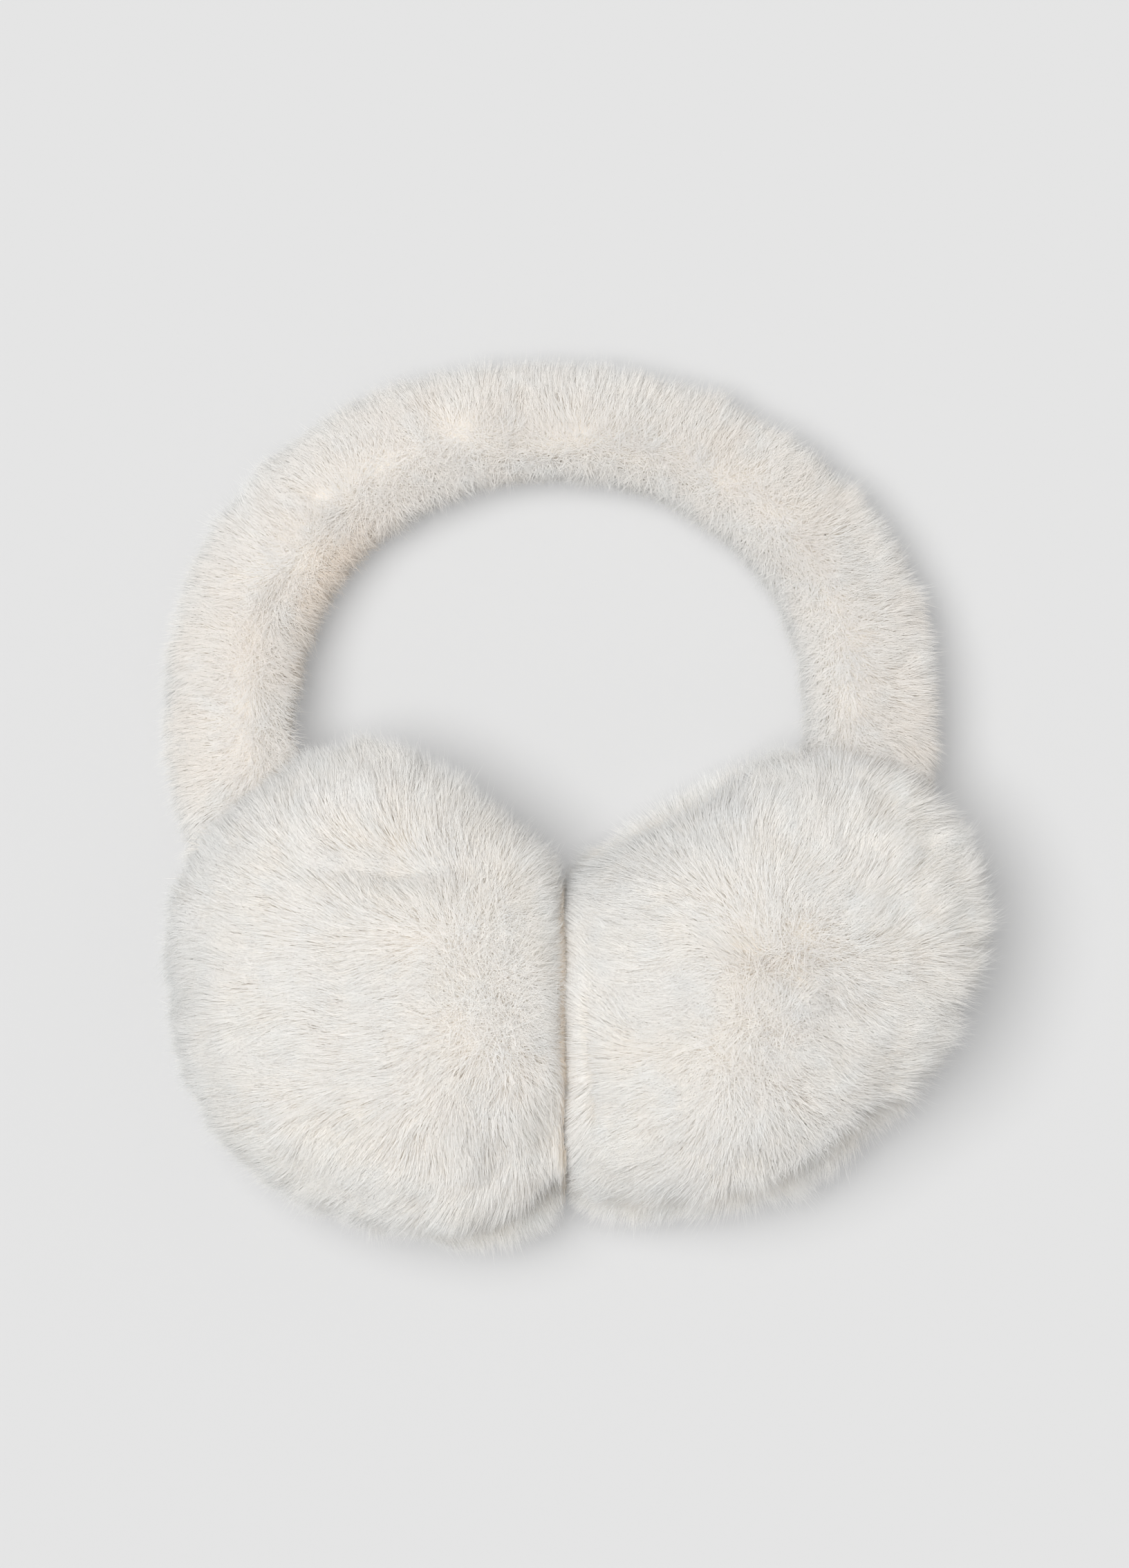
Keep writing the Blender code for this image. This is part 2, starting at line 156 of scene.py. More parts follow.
UPRIGHT_STRAY = 0.45         # random lean where the flow has no clear direction
LEAST_LEAN = 0.55
ROLL = 38.0
SMALL_CLUMP = 6              # strands in a clump, and how far their tips are drawn together
LARGE_CLUMP = 50
SMALL_PULL = 0.11
LARGE_PULL = 0.08
LOCK_PULL = 0.85             # more of it where rims carry locks, for each share of their gain
GUARD_SHARE = 0.12           # share of longer and thinner strands that fuzz the outline
GUARD_LENGTH = 1.22
GUARD_WIDTH = 0.65
UP_SHADING = 2.40            # how far strands face upward rather than along the surface's normal
FACE_SHADING = 0.03          # how much their own faces turn their shading
RIM_TURN = 0.95              # upward part of the normal below which painted shade turns the fur cooler and greyer
RIM_EVEN = 0.48              # share of that painted shade on all sides, and the part more of it on the lit left
RIM_LEFT = 0.52
RIM_EDGE = 0.35              # upward part of the normal below which the painted shade fades again
LEFT_SHADE = 0.16            # more of the same greyer painted shade for surfaces that turn to the left
LEFT_FROM = 0.35
# painted shade: the greyer, cooler colour given to rims and to surfaces that turn left
PAINTED_RIM_SHADE = (0.70, 0.71, 0.71, 1.0)
FLOOR_CLEARANCE = 0.0004
CONTACT_WOBBLE = 0.0004      # how far the seam wavers from a straight line
CONTACT_CROSS = (-0.0012, 0.0007)   # how far hairs reach past the seam, at least and at most
LEAST_SHARE = 0.25           # share of its length that a shortened hair keeps at least
SEAM_STEP = 0.0030           # how far the lower pad's fur stays under the higher edge beside it
SEAM_SPREAD = 0.0085         # distance from the seam over which that fur swells up to it
SEAM_FADE = 0.0100           # height under the edge over which the swelling fades down the wall
SEAM_PLACES = (-0.0800, -0.0180, 0.0020)     # ends and step of the places where the edges are measured
SEAM_EDGE = 0.0008           # distance from the seam at which they are measured
HIGH_COVER = "left_outer_cover"
LOW_COVER = "right_outer_cover"
SEAM_ENDS = (-0.0900, -0.0160)      # ends of the seam, and the distances over which the swelling starts
SEAM_STARTS = (0.0120, 0.0140)
SEAM_UP = 0.3                # upward part of the normal above which hairs beside the seam show
SEAM_SEEN = 0.7              # least density of those hairs, and how much more of them at the seam itself
SEAM_DENSITY = 1.2
SEAM_REACH = 0.0070
CONTACT_SKIN = 0.0001        # depth of the pile on the faces that press together
CONTACT_FACE = 0.0015
CREASE_FILL = 0.15           # share of the pile's depth that the skin regains at the crease
CONTACT_SEEN = 0.030         # height above which those faces show in the crease
CREASE_SHADE = 0.0036          # distance from the crease within which painted shade turns the fur tan

# Camera and light
KEY_LIGHT = ("key", 168.0, 72.5, 44.0, 3.53)     # azimuth, elevation and spread in degrees, strength
PIXELS = (1633, 2268)
MM_PER_PIXEL = 0.16
PHOTO_ORIGIN = (830.5, 1164.0)          # photo pixel of the row frame's origin
FOCUS_HEIGHT = 0.020
CAMERA_DISTANCE = 1.60
SENSOR = 36.0
FLOOR_SIZE = 6.0
FLOOR_TONE = 0.3926
FLOOR_GLOW = 0.24                       # a softly lit table keeps the shadows light
SKY_LEVEL = 0.31
SKY_LEAN = (0.25, -0.10, 0.0)           # how the sky brightens away from the key light

# Colours of each fur: pale, warm and cool white, and the deep colour at the roots, a painted warm shade of
# the pile's depth
COVER_COLOURS = (
    (0.972, 0.961, 0.940, 1),
    (0.972, 0.954, 0.921, 1),
    (0.953, 0.957, 0.949, 1),
    (0.89, 0.75, 0.57, 1),
)
BAND_COLOURS = (
    (0.942, 0.927, 0.903, 1),
    (0.942, 0.912, 0.874, 1),
    (0.924, 0.927, 0.919, 1),
    (0.89, 0.81, 0.72, 1),
)
SKIN_COLOURS = ((0.95, 0.91, 0.85, 1), (0.90, 0.84, 0.76, 1))
FUR_ROUGHNESS = 0.85
FUR_GLOSS = 0.15
FUR_TRANSLUCENT = 0.50                  # share of light that passes through a strand
SHADED = 0.92                           # share of the pale colour that the greyest strands keep
SKIN_GLOSS = 0.1
BROAD_PATCHES = 42.0                    # scales of the noise for the patches and the short pile
FINE_PATCHES = 150.0
PILE_SCALE = 1400.0
PILE_BUMP = 0.0006

UPRIGHT = np.array((0.0, 0.0, 1.0))


def smoothstep(edge, value):
    t = np.clip(value / edge, 0.0, 1.0)
    return t * t * (3.0 - 2.0 * t)


def unit(vectors):
    return vectors / np.maximum(np.linalg.norm(vectors, axis=-1, keepdims=True), 1e-12)


def wave_noise(points, size, rng, count=9):
    """Smooth noise of about that feature size at each point, roughly from -1 to 1."""
    directions = unit(rng.normal(size=(count, 3)))
    rates = 2.0 * math.pi / size * rng.uniform(0.6, 1.5, count)
    phases = rng.uniform(0.0, 2.0 * math.pi, count)
    return np.sin(points @ (directions * rates[:, None]).T + phases).sum(axis=1) / math.sqrt(count)


def mesh_arrays(mesh):
    """Vertex positions, vertex normals and triangles of a mesh."""
    mesh.calc_loop_triangles()
    points = np.zeros(len(mesh.vertices) * 3)
    mesh.vertices.foreach_get("co", points)
    normals = np.zeros(len(mesh.vertices) * 3)
    mesh.vertices.foreach_get("normal", normals)
    triangles = np.zeros(len(mesh.loop_triangles) * 3, np.int32)
    mesh.loop_triangles.foreach_get("vertices", triangles)
    return points.reshape(-1, 3), normals.reshape(-1, 3), triangles.reshape(-1, 3)


def dent_depths(node, points):
    """Depth of the dents and folds of one piece at each point."""
    total = np.zeros(len(points))
    for name, x, y, half_length, half_width, deep, degrees in DENTS:
        if name == node:
            c, s = math.cos(math.radians(degrees)), math.sin(math.radians(degrees))
            dx, dy = points[:, 0] - x, points[:, 1] - y
            along, across = (c * dx + s * dy) / half_length, (c * dy - s * dx) / half_width
            total += deep * np.exp(-along ** 2 - across ** 2)
    return total


def press_dents(mesh, node):
    """Press the dents and folds of one piece into its mesh, along its normals."""
    points, normals, _ = mesh_arrays(mesh)
    amount = dent_depths(node, points) * np.clip(normals[:, 2], 0.0, 1.0)
    points -= normals * amount[:, None]
    mesh.vertices.foreach_set("co", points.ravel())
    mesh.update()


def smooth_form(node, sink):
    """A remeshed and smoothed copy of a CAD node's mesh, sunk inward by a depth."""
    obj = bpy.data.objects.new(node + "_form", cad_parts[node].data.copy())
    bpy.context.scene.collection.objects.link(obj)
    remesh = obj.modifiers.new("even", "REMESH")
    remesh.mode = "VOXEL"
    remesh.voxel_size = SKIN_VOXEL
    smooth = obj.modifiers.new("smooth", "SMOOTH")
    smooth.factor = SKIN_SMOOTH_SHARE
    smooth.iterations = SKIN_SMOOTHING
    if sink:
        push = obj.modifiers.new("sink", "DISPLACE")
        push.mid_level = 0.0
        push.strength = -sink
        ease = obj.modifiers.new("ease", "SMOOTH")
        ease.factor = SUNK_SMOOTH_SHARE
        ease.iterations = SUNK_SMOOTHING
    graph = bpy.context.evaluated_depsgraph_get()
    mesh = bpy.data.meshes.new_from_object(obj.evaluated_get(graph))
    bpy.data.objects.remove(obj)
    press_dents(mesh, node)
    return mesh


def edge_heights(node, side, places):
    """Height of a cover's edge beside the seam, at each of the given places along the seam."""
    points, _, triangles = mesh_arrays(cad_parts[node].data)
    tree = BVHTree.FromPolygons(points.tolist(), triangles.tolist())
    x = CONTACT_X + side * SEAM_EDGE
    hits = [tree.ray_cast(Vector((x, y, cad_high[2] + SEAM_EDGE)), Vector(-UPRIGHT))[0] for y in places]
    return np.array([hit.z if hit else np.nan for hit in hits])


def seam_swelling(outer):
    """How far the lower right cover's fur swells up beside the higher left one, at each point."""
    places = np.arange(*SEAM_PLACES)
    high, low = edge_heights(HIGH_COVER, -1, places), edge_heights(LOW_COVER, 1, places)
    both = ~(np.isnan(high) | np.isnan(low))
    rise = np.interp(outer[:, 1], places[both], np.maximum(high[both] - low[both] - SEAM_STEP, 0.0))
    edge = np.interp(outer[:, 1], places[both], low[both])
    near = 1.0 - smoothstep(SEAM_SPREAD, outer[:, 0] - CONTACT_X)
    near = near * smoothstep(SEAM_STARTS[0], outer[:, 1] - SEAM_ENDS[0])
    near = near * smoothstep(SEAM_STARTS[1], SEAM_ENDS[1] - outer[:, 1])
    return rise * near * (1.0 - smoothstep(SEAM_FADE, edge - outer[:, 2]))


def raise_points(mesh, rise):
    points = mesh_arrays(mesh)[0]
    points[:, 2] += rise
    mesh.vertices.foreach_set("co", points.ravel())
    mesh.update()


def lift_contact_skin(mesh, outer, normals, depth, side):
    """Bring the sunk skin close behind the faces that press together, and return its points."""
    points = mesh_arrays(mesh)[0]
    if side:
        gap = side * (outer[:, 0] - CONTACT_X)
        near = 1.0 - smoothstep(2.0 * CONTACT_FACE, gap - CONTACT_FACE)
        pressed = np.clip(-side * normals[:, 0], 0.0, 1.0)
        points[:, 0] -= side * (depth - CONTACT_SKIN) * near * pressed
        points[:, 2] += CREASE_FILL * near * (outer[:, 2] - points[:, 2])
        points[:, 0] = side * np.maximum(side * points[:, 0], side * CONTACT_X + CONTACT_SKIN)
        mesh.vertices.foreach_set("co", points.ravel())
        mesh.update()
    return points


def openness(points, normals, tree, rng):
    """Share of the sky above each point that no piece blocks nearby."""
    rays = unit(rng.normal(size=(OPEN_RAYS, 3)))
    total = np.zeros(len(points))
    clear = np.zeros(len(points))
    for ray in rays:
        facing = normals @ ray
        for i in np.nonzero(facing > LEAST_FACING)[0]:
            start = points[i] + normals[i] * OPEN_START
            reach = OPEN_REACH
            if ray[2] < 0.0:
                reach = min(reach, start[2] / -ray[2])
            hit = tree.ray_cast(Vector(start), Vector(ray), reach)[0] if reach > 0 else True
            weight = facing[i]
            total[i] += weight
            if hit is None:
                clear[i] += weight * (1.0 if reach == OPEN_REACH else FLOOR_SHARE)
    return clear / np.maximum(total, 1e-9)


def flow_field(node, points, normals, rng):
    """Direction in which the fur leans at each point, before it is laid on the surface."""
    crown = COATS[node][3]
    if crown is None:
        out = points[:, :2] - np.array(ARC_CENTRE)
        radius = np.linalg.norm(out, axis=1, keepdims=True)
        parting = PARTING_RADIUS + PARTING_WAVER * wave_noise(points, 0.040, rng)
        side = np.tanh((radius[:, 0] - parting) / PARTING_SOFT)
        out = out / radius * side[:, None] + np.array((0.0, -BAND_ALONG)) * np.abs(out[:, :1]) / radius
        wild = BAND_WILD
    else:
        first, last = np.array(crown)
        share = ((points[:, :2] - first) @ (last - first)) / ((last - first) @ (last - first))
        out = points[:, :2] - (first + np.clip(share, 0.0, 1.0)[:, None] * (last - first))
        radius = np.linalg.norm(out, axis=1, keepdims=True)
        out = out / np.sqrt(radius ** 2 + CROWN_RADIUS ** 2)
        wild = PAD_WILD
    upright = np.maximum(1.0 - np.linalg.norm(out, axis=1, keepdims=True), 0.0)
    down = DOWNWARD[node] + LOW_SIDE_DOWN * (1.0 - smoothstep(LOW_SIDE, np.maximum(normals[:, 2:], 0.0)))
    flow = np.hstack([out, -down])
    stray = np.stack([wave_noise(points, 0.016, rng) for _ in range(3)], axis=1)
    return flow + wild * stray + UPRIGHT_STRAY * upright * rng.normal(size=flow.shape)


def turn_in_plane(flow, normals, degrees):
    """Turn tangent vectors about the normals."""
    a = np.radians(degrees)[:, None]
    return flow * np.cos(a) + np.cross(normals, flow) * np.sin(a)


def clump_pull(roots, tips, size, pull, rng):
    """Draw tips towards the axis of the nearest clump."""
    count = max(1, len(roots) // size)
    chosen = rng.choice(len(roots), count, replace=False)
    tree = KDTree(count)
    for slot, index in enumerate(chosen):
        tree.insert(roots[index], slot)
    tree.balance()
    nearest = np.array([tree.find(root)[1] for root in roots])
    return tips + pull * (roots[chosen[nearest]] - roots)


def painted_inner_shade(points):
    """How strongly painted shade darkens the inner side of the headband at each point, from 0 to 1."""
    x, y = points[:, 0] - ARC_CENTRE[0], points[:, 1] - ARC_CENTRE[1]
    turn = np.degrees(np.arctan2(y, x))
    inner = smoothstep(0.006, INNER_SHADE_RADIUS - np.hypot(x, y))
    total = np.zeros(len(points))
    for degrees, spread, strength in INNER_SHADE_SIDES:
        total += strength * np.exp(-((turn - degrees) / spread) ** 2)
    return np.clip(total * inner, 0.0, 1.0)


def end_past_contact(root, bend, tip, side, rng):
    """Shorten the hairs that cross the seam, so that each ends a little past it."""
    waver = CONTACT_WOBBLE * (np.sin(root[:, 1] * 290.0) + 0.5 * np.sin(root[:, 1] * 730.0 + 1.7))
    limit = CONTACT_X + waver - side * rng.uniform(*CONTACT_CROSS, len(root))
    inside = np.maximum(side * (root[:, 0] - limit), 0.0)
    past = np.maximum(side * (limit - tip[:, 0]), 0.0)
    share = np.clip(inside / np.maximum(inside + past, 1e-9), LEAST_SHARE, 1.0)
    share = np.where(past > 0.0, share, 1.0)[:, None]
    bend[:] = root + share * (bend - root)
    tip[:] = root + share * (tip - root)


def grow_strands(node, outer, skin, triangles, normals, open_share, rng):
    """Root, bend and tip points, normals and shades of one coat's strands."""
    count, length, depth, crown, side = COATS[node]
    count = int(count * STRAND_SHARE)
    corners = outer[triangles]
    area = np.linalg.norm(np.cross(corners[:, 1] - corners[:, 0], corners[:, 2] - corners[:, 0]), axis=1)
    up = normals[triangles].mean(axis=1)[:, 2]
    facing = np.interp(up, FACING_UP, FACING_DENSITY)
    seen = np.maximum(smoothstep(OPEN_DENSE, open_share[triangles].mean(axis=1)), LEAST_DENSE)
    if side:
        middle = corners.mean(axis=1)
        gap = side * (middle[:, 0] - CONTACT_X)
        upper = middle[:, 2] > CONTACT_SEEN
        pressed = (gap < CONTACT_FACE) & upper
        seen = np.where(pressed, np.maximum(seen, PRESSED_DENSE), seen)
        beside = (gap < SEAM_SPREAD) & (up > SEAM_UP) & upper
        close = 1.0 - smoothstep(SEAM_REACH, gap)
        seen = np.where(beside, np.maximum(seen, SEAM_SEEN + SEAM_DENSITY * close), seen)
    weight = area * facing * seen
    pick = rng.choice(len(triangles), count, p=weight / weight.sum())
    bary = rng.dirichlet((1.0, 1.0, 1.0), count)[:, :, None]

    def at(values):
        return (values[triangles[pick]] * bary).sum(axis=1)

    root, top, normal = at(skin), at(outer), unit(at(normals))
    is_open = (open_share[triangles[pick]] * bary[:, :, 0]).sum(axis=1)
    flow = flow_field(node, top, normal, rng)
    flow = flow - (flow * normal).sum(axis=1, keepdims=True) * normal
    lean = np.clip(np.linalg.norm(flow, axis=1), LEAST_LEAN, 1.0)
    turn = SWIRL * wave_noise(top, 0.030, rng) + FINE_SWIRL * wave_noise(top, 0.007, rng)
    flow = turn_in_plane(unit(flow), normal, turn + rng.normal(0.0, STRAY, count)) * lean[:, None]

    lift = 3.0 * wave_noise(top, 0.012, rng) + rng.normal(0.0, 2.5, count)
    low, high = np.radians(ROOT_ANGLE + lift), np.radians(TIP_ANGLE + lift)
    first = unit(normal * np.sin(low)[:, None] + flow * np.cos(low)[:, None])
    second = unit(normal * np.sin(high)[:, None] + flow * np.cos(high)[:, None])
    size = length * rng.uniform(*LENGTH_SPREAD, count) * (1.0 + 0.06 * wave_noise(top, 0.010, rng))
    size = size * (0.80 + 0.20 * smoothstep(0.4, is_open)) * (0.75 + 0.25 * lean)
    heading = np.degrees(np.arctan2(normal[:, 1], normal[:, 0]))
    lock = np.zeros(count)
    for name, degrees, spread, gain in LONG_RIMS:
        if name == node:
            off = (heading - degrees + 180.0) % 360.0 - 180.0
            upper_side = np.exp(-((normal[:, 2] - LONG_RIM_TURN) / LONG_RIM_SOFT) ** 2)
            lock += gain * upper_side * np.exp(-(off / spread) ** 2)
    size = size * (1.0 + lock)
    guard = rng.uniform(0.0, 1.0, count) < GUARD_SHARE
    size = np.where(guard, GUARD_LENGTH, 1.0) * size
    bend = root + first * (BEND_AT * size)[:, None]
    tip = bend + second * ((1.0 - BEND_AT) * size)[:, None]
    clumped = clump_pull(root, tip, SMALL_CLUMP, SMALL_PULL, rng)
    clumped = clump_pull(root, clumped, LARGE_CLUMP, LARGE_PULL + LOCK_PULL * lock[:, None], rng)
    tip = np.where(guard[:, None], tip, clumped)
    if side:
        end_past_contact(root, bend, tip, side, rng)
    for points in (root, bend, tip):
        points[:, 2] = np.maximum(points[:, 2], FLOOR_CLEARANCE)
    # painted shade on the headband's inner side
    if crown is None:
        is_open = is_open * (1.0 - painted_inner_shade(top))
    # painted shade: dents and folds take the fur towards the deep colour
    is_open = is_open * np.clip(1.0 - DENT_SHADE * dent_depths(node, top), 0.0, 1.0)
    # painted shade: near the crease between the pads the fur takes the deep colour
    if side:
        is_open = is_open * smoothstep(CREASE_SHADE, side * (top[:, 0] - CONTACT_X))
    wide = np.clip(1.0 / np.sqrt(facing[pick] * seen[pick]), 1.0, 2.0) * np.where(guard, GUARD_WIDTH, 1.0)
    # painted shade: rims, more on the left, and surfaces that turn left get a greyer colour
    rim_shade = np.clip(1.0 - normal[:, 2] / RIM_TURN, 0.0, 1.0)
    rim_shade = rim_shade * np.clip(RIM_EVEN - RIM_LEFT * normal[:, 0], 0.0, 1.0)
    rim_shade = rim_shade * smoothstep(RIM_EDGE, np.maximum(normal[:, 2], 0.0))
    rim_shade = rim_shade + LEFT_SHADE * np.clip(LEFT_FROM - normal[:, 0], 0.0, 1.0)
    return root, bend, tip, normal, is_open, rim_shade, wide


def strand_mesh(name, root, bend, tip, normal, is_open, rim_shade, wide, rng):
    """Join slender blades, pointed at both ends and widest at the bend, into one mesh."""
    count = len(root)
    along = unit(tip - root)
    towards = unit(normal + UP_SHADING * UPRIGHT)
    across = unit(np.cross(along, towards))
    outward = np.cross(across, along)
    roll = np.radians(rng.uniform(-ROLL, ROLL, count))[:, None]
    across = across * np.cos(roll) + outward * np.sin(roll)
    turned = (np.cross(across, along) * towards).sum(axis=1, keepdims=True) < 0.0
    across = np.where(turned, -across, across)
    half = (STRAND_WIDTH / 2.0 * wide * rng.uniform(*WIDTH_SPREAD, count))[:, None] * across
    points = np.stack([root, bend + half, tip, bend - half], axis=1)
    mesh = bpy.data.meshes.new(name)
    mesh.vertices.add(count * 4)
    mesh.vertices.foreach_set("co", points.astype(np.float32).ravel())
    base = (np.arange(count) * 4)[:, None]
    loops = (base + np.array([0, 1, 3, 1, 2, 3])).astype(np.int32)
    mesh.loops.add(count * 6)
    mesh.loops.foreach_set("vertex_index", loops.ravel())
    mesh.polygons.add(count * 2)
    mesh.polygons.foreach_set("loop_start", (np.arange(count * 2) * 3).astype(np.int32))
    mesh.update(calc_edges=True)
    mesh.shade_smooth()
    face = unit(np.cross(across, along))
    shading = unit(towards + FACE_SHADING * face)
    mesh.normals_split_custom_set_from_vertices(np.repeat(shading, 4, axis=0))
    shade = np.ones((count, 4, 4), np.float32)
    shade[:, :, 0] = (0.0, BEND_AT, 1.0, BEND_AT)
    shade[:, :, 1] = rng.uniform(0.0, 1.0, count)[:, None]
    shade[:, :, 2] = is_open[:, None]
    shade[:, :, 3] = rim_shade[:, None]
    attribute = mesh.attributes.new("fur", "FLOAT_COLOR", "POINT")
    attribute.data.foreach_set("color", shade.ravel())
    return mesh


def node_maker(material):
    """A short way to add nodes and links to a material."""
    tree = material.node_tree

    def add(kind, inputs=None, **settings):
        made = tree.nodes.new(kind)
        for key, value in settings.items():
            setattr(made, key, value)
        for key, value in (inputs or {}).items():
            if isinstance(value, bpy.types.NodeSocket):
                tree.links.new(value, made.inputs[key])
            else:
                made.inputs[key].default_value = value
        return made

    return add


def mixed(add, factor, a, b, blend="MIX"):
    """Colour mix of two colours or sockets."""
    made = add("ShaderNodeMix", data_type="RGBA", blend_type=blend)
    tree = made.id_data
    for socket, value in ((made.inputs[0], factor), (made.inputs[6], a), (made.inputs[7], b)):
        if isinstance(value, bpy.types.NodeSocket):
            tree.links.new(value, socket)
        else:
            socket.default_value = value
    return made.outputs[2]


def stepped(add, value, low, high):
    """Map a value from low..high to 0..1, clamped."""
    return add("ShaderNodeMapRange", {"Value": value, "From Min": low, "From Max": high}).outputs[0]


def mottling(add, pale, warm, cool, rim_shade):
    """Soft patches of cream, warm and cool white, as the nap of dense fur shows them, with painted shade
    making rims cooler and greyer.
    """
    place = add("ShaderNodeTexCoord").outputs["Object"]
    broad = add("ShaderNodeTexNoise", {"Vector": place, "Scale": BROAD_PATCHES, "Detail": 2.0})
    fine = add("ShaderNodeTexNoise", {"Vector": place, "Scale": FINE_PATCHES, "Detail": 3.0})
    colour = mixed(add, stepped(add, broad.outputs["Fac"], 0.40, 0.75), pale, warm)
    colour = mixed(add, stepped(add, fine.outputs["Fac"], 0.45, 0.80), colour, cool)
    return mixed(add, rim_shade, colour, PAINTED_RIM_SHADE)


def strand_material(name, pale, warm, cool, deep):
    """Strands: deep colour as painted shade at the root, mottled pale at the tip, and let some light
    through.
    """
    material = bpy.data.materials.new(name)
    material.use_nodes = True
    add = node_maker(material)
    fur = add("ShaderNodeAttribute", attribute_name="fur", attribute_type="GEOMETRY")
    parts = add("ShaderNodeSeparateColor", {"Color": fur.outputs["Color"]})
    along, chance, is_open = parts.outputs[0], parts.outputs[1], parts.outputs[2]
    # the attribute's alpha carries the painted rim shade
    tips = mottling(add, pale, warm, cool, fur.outputs["Alpha"])
    # painted shade of the pile's depth: each strand goes from the deep colour at its root to pale at its
    # tip
    colour = mixed(add, stepped(add, along, -0.50, 0.60), deep, tips)
    # painted shade: fur that little sky reaches, and fur in the dents, near the crease and on the
    # headband's inner side, takes the deep colour
    colour = mixed(add, stepped(add, is_open, 0.40, -0.15), colour, deep)
    shaded = tuple(SHADED * c for c in pale[:3]) + (1.0,)
    colour = mixed(add, stepped(add, chance, 0.50, 1.50), colour, shaded)
    shader = material.node_tree.nodes["Principled BSDF"]
    material.node_tree.links.new(colour, shader.inputs["Base Color"])
    shader.inputs["Roughness"].default_value = FUR_ROUGHNESS
    shader.inputs["Specular IOR Level"].default_value = FUR_GLOSS
    glow = add("ShaderNodeBsdfTranslucent", {"Color": colour})
    both = add("ShaderNodeMixShader", {0: FUR_TRANSLUCENT, 1: shader.outputs[0], 2: glow.outputs[0]})
    output = material.node_tree.nodes["Material Output"]
    material.node_tree.links.new(both.outputs[0], output.inputs["Surface"])
    return material


def skin_material(name, pale, deep):
    """Underfur: short dense pile seen between the strands."""
    material = bpy.data.materials.new(name)
    material.use_nodes = True
    add = node_maker(material)
    place = add("ShaderNodeTexCoord").outputs["Object"]
    pile = add("ShaderNodeTexNoise", {"Vector": place, "Scale": PILE_SCALE, "Detail": 2.0})
    # painted shade: the low places of the pile, where the bump sinks, take the deeper colour
    colour = mixed(add, pile.outputs["Fac"], deep, pale)
    shader = material.node_tree.nodes["Principled BSDF"]
    material.node_tree.links.new(colour, shader.inputs["Base Color"])
    shader.inputs["Roughness"].default_value = 1.0
    shader.inputs["Specular IOR Level"].default_value = SKIN_GLOSS
    bump = add("ShaderNodeBump", {"Height": pile.outputs["Fac"], "Strength": 0.5, "Distance": PILE_BUMP})
    material.node_tree.links.new(bump.outputs["Normal"], shader.inputs["Normal"])
    return material


def add_piece(name, mesh, material, node):
    mesh.materials.clear()
    mesh.materials.append(material)
    obj = bpy.data.objects.new(name, mesh)
    bpy.context.scene.collection.objects.link(obj)
    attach(obj, "root")
    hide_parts(node)
    return obj


def dress_in_fur():
    rng = np.random.default_rng(SEED)
    forms, swelling = {}, {}
    for node in COATS:
        form = smooth_form(node, 0.0)
        if node == LOW_COVER:
            swelling[node] = seam_swelling(mesh_arrays(form)[0])
            raise_points(form, swelling[node])
        forms[node] = mesh_arrays(form)
    corner_lists, face_lists, offset = [], [], 0
    for points, _, triangles in forms.values():
        corner_lists.append(points)
        face_lists.append(triangles + offset)
        offset += len(points)
    tree = BVHTree.FromPolygons(np.concatenate(corner_lists).tolist(), np.concatenate(face_lists).tolist())

    cover_coat = strand_material("cover_fur", *COVER_COLOURS)
    band_coat = strand_material("band_fur", *BAND_COLOURS)
    skin_fur = skin_material("underfur", *SKIN_COLOURS)

    for node in COATS:
        outer, normals, triangles = forms[node]
        skin_mesh = smooth_form(node, COATS[node][2])
        if node in swelling:
            raise_points(skin_mesh, swelling[node])
        skin = lift_contact_skin(skin_mesh, outer, normals, COATS[node][2], COATS[node][4])
        is_open = openness(outer, normals, tree, rng)
        skin_mesh.shade_smooth()
        under = add_piece(node + "_underfur", skin_mesh, skin_fur, node)
        grown = grow_strands(node, outer, skin, triangles, normals, is_open, rng)
        coat = band_coat if node == "headband" else cover_coat
        add_piece(node + "_coat", strand_mesh(node + "_coat", *grown, rng), coat, node)


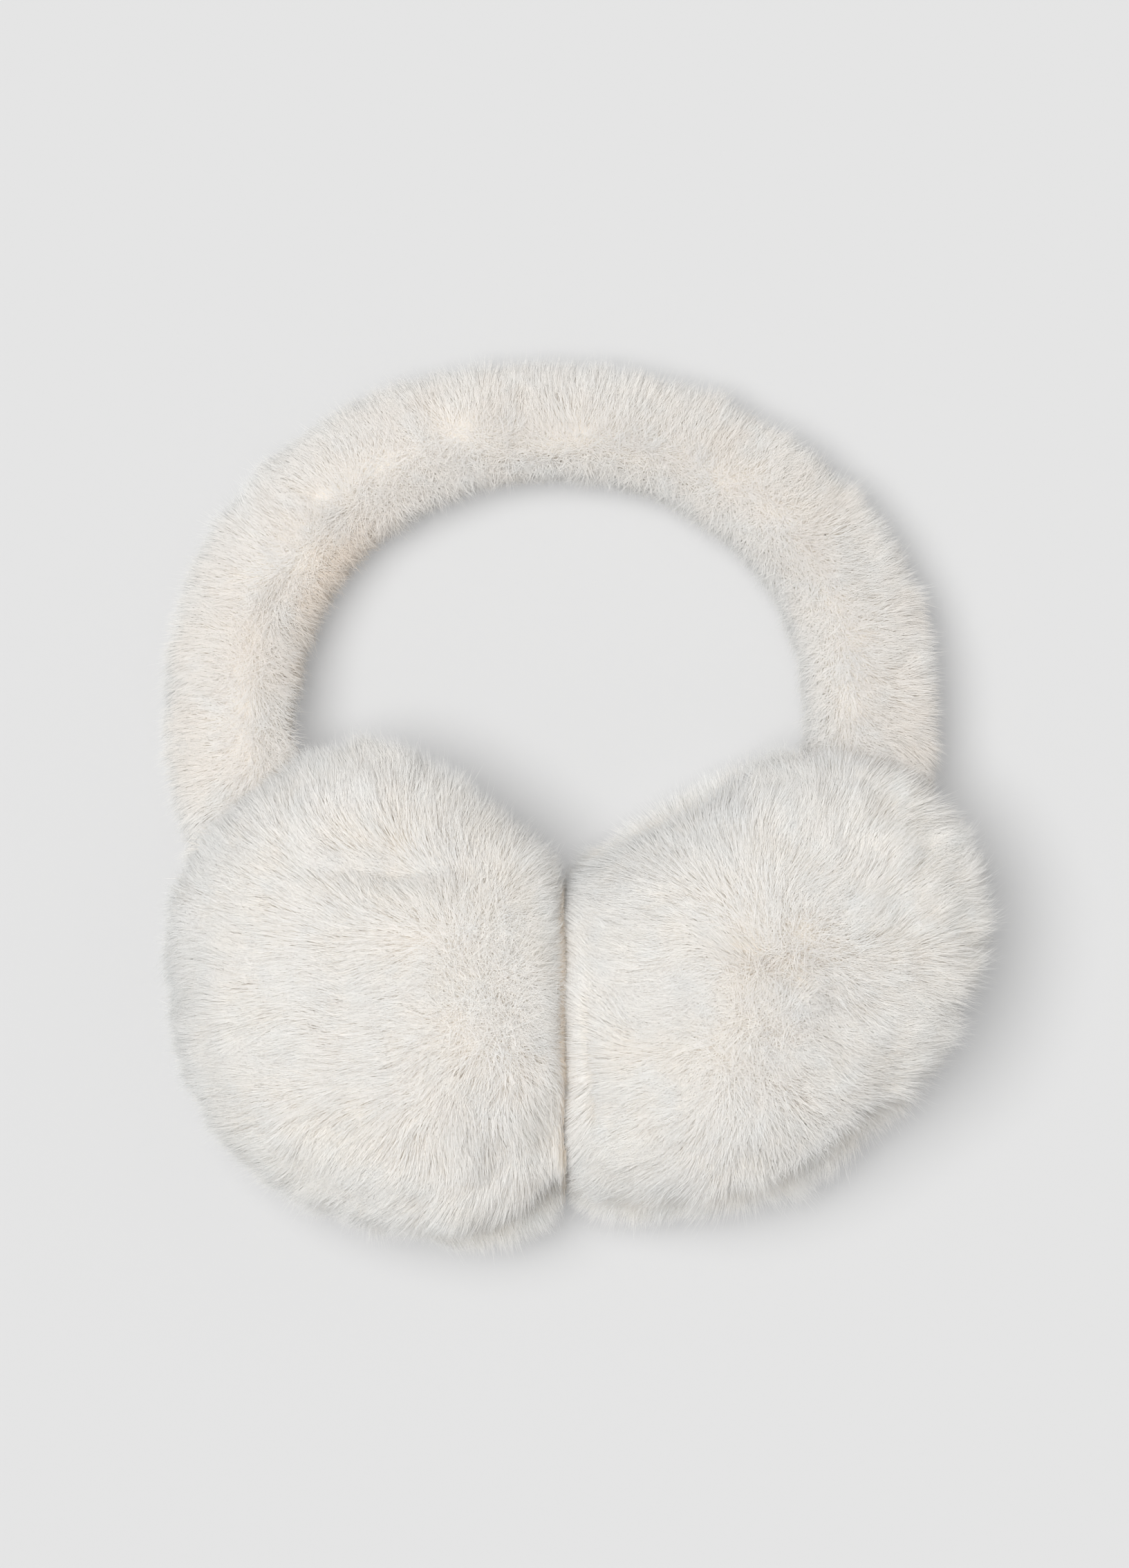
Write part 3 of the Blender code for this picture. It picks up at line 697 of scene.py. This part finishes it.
def add_floor():
    bpy.ops.mesh.primitive_plane_add(size=FLOOR_SIZE)
    floor = bpy.context.object
    floor.name = "floor"
    material = bpy.data.materials.new("pale_floor")
    material.use_nodes = True
    shader = material.node_tree.nodes["Principled BSDF"]
    shader.inputs["Base Color"].default_value = (FLOOR_TONE, FLOOR_TONE, FLOOR_TONE, 1.0)
    shader.inputs["Emission Color"].default_value = (1.0, 1.0, 1.0, 1.0)
    shader.inputs["Emission Strength"].default_value = FLOOR_GLOW
    shader.inputs["Roughness"].default_value = 1.0
    shader.inputs["Specular IOR Level"].default_value = 0.0
    floor.data.materials.append(material)


def add_light(name, azimuth, elevation, spread, strength):
    """A far and broad soft light, so that the floor is lit evenly."""
    data = bpy.data.lights.new(name, "SUN")
    data.angle = math.radians(spread)
    data.energy = strength
    light = bpy.data.objects.new(name, data)
    a, e = math.radians(azimuth), math.radians(elevation)
    towards = Vector((math.cos(a) * math.cos(e), math.sin(a) * math.cos(e), math.sin(e)))
    light.rotation_euler = towards.to_track_quat("Z", "Y").to_euler()
    bpy.context.scene.collection.objects.link(light)


def add_camera():
    data = bpy.data.cameras.new("camera")
    data.sensor_width = SENSOR
    view_height = PIXELS[1] * MM_PER_PIXEL / 1000.0
    data.lens = SENSOR * CAMERA_DISTANCE / view_height
    camera = bpy.data.objects.new("camera", data)
    middle_x = (PIXELS[0] / 2.0 - PHOTO_ORIGIN[0]) * MM_PER_PIXEL / 1000.0
    middle_y = (PHOTO_ORIGIN[1] - PIXELS[1] / 2.0) * MM_PER_PIXEL / 1000.0
    camera.location = (middle_x, middle_y, FOCUS_HEIGHT + CAMERA_DISTANCE)
    bpy.context.scene.collection.objects.link(camera)
    bpy.context.scene.camera = camera


def add_world():
    """An even studio sky, somewhat brighter on the side away from the key light."""
    world = bpy.data.worlds.new("studio")
    world.use_nodes = True
    add = node_maker(world)
    place = add("ShaderNodeTexCoord").outputs["Generated"]
    towards = add("ShaderNodeVectorMath", {0: place, 1: SKY_LEAN}, operation="DOT_PRODUCT")
    level = add("ShaderNodeMath", {0: towards.outputs["Value"], 1: SKY_LEVEL}, operation="MULTIPLY")
    strength = add("ShaderNodeMath", {0: level.outputs[0], 1: SKY_LEVEL}, operation="ADD", use_clamp=False)
    background = world.node_tree.nodes["Background"]
    background.inputs["Color"].default_value = (1.0, 1.0, 1.0, 1.0)
    world.node_tree.links.new(strength.outputs[0], background.inputs["Strength"])
    bpy.context.scene.world = world
    bpy.context.scene.view_settings.view_transform = "Standard"


dress_in_fur()
add_floor()
add_light(*KEY_LIGHT)
add_world()
add_camera()
